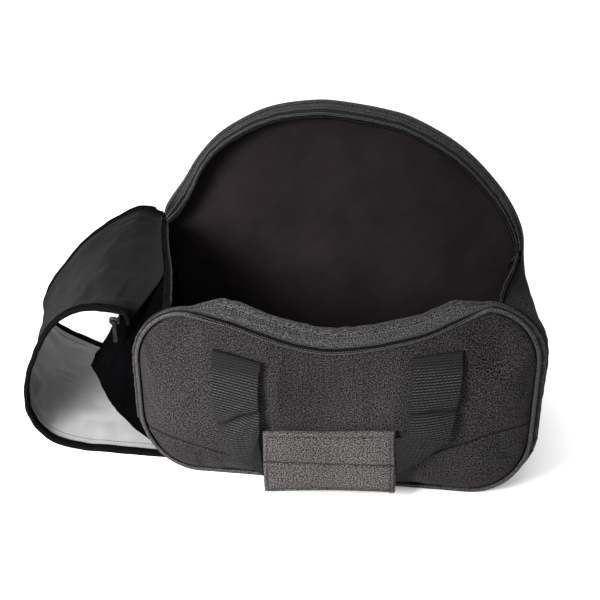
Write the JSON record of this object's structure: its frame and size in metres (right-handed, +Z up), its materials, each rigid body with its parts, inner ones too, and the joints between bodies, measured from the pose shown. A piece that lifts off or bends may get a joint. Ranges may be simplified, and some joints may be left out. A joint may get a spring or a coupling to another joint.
{
  "type": "motorcycle helmet bag",
  "caption": "Soft zipped carry bag for a helmet, standing open: arched lid, padded front pocket with webbing handles, unzipped end panel lying as a loop.",
  "frame": {"origin": "middle of the base panel's underside, on the ground, halfway along the bag's length and halfway between its front wall and its back panel", "axes": "+X to the right end of the bag, away from the unzipped end panel, +Y to the back panel and lid, +Z up"},
  "size_m": [0.6088, 0.2823, 0.3458],
  "materials": {
    "cloth": "coarse woven heather polyester, matte",
    "lining": "thin plain black lining cloth, matte",
    "silver": "silver-grey coated cloth, semi-matte",
    "webbing": "ribbed woven webbing, matte",
    "trim": "smooth woven binding and piping, semi-matte",
    "zip_nylon": "nylon coil zip on woven tape",
    "slider_metal": "dark plated metal, satin"
  },
  "bodies": {
    "root": {"front_panel": "cloth", "front_piping": "trim", "pocket_side_strip": "cloth", "pocket_zip": "zip_nylon", "mouth_band": "cloth", "front_wall": "lining", "mouth_zip_front": "zip_nylon", "base_panel": "cloth", "right_end_wall": "cloth", "left_lining_wall": "lining", "mouth_zip_left": "zip_nylon", "mouth_zip_right": "zip_nylon", "back_panel": "cloth", "lid_rim": "cloth", "lid_zip": "zip_nylon", "back_piping": "trim", "end_flap": "silver", "flap_binding_front": "trim", "flap_binding_back": "trim", "handle_web_left": "webbing", "handle_web_right": "webbing", "handle_grip": "cloth", "rear_handle": "webbing", "end_zip_front_slider": "slider_metal", "end_zip_front_pull": "slider_metal", "end_zip_back_slider": "slider_metal", "end_zip_back_pull": "slider_metal", "mouth_zip_slider": "slider_metal", "mouth_zip_pull": "slider_metal"}
  },
  "joints": []
}
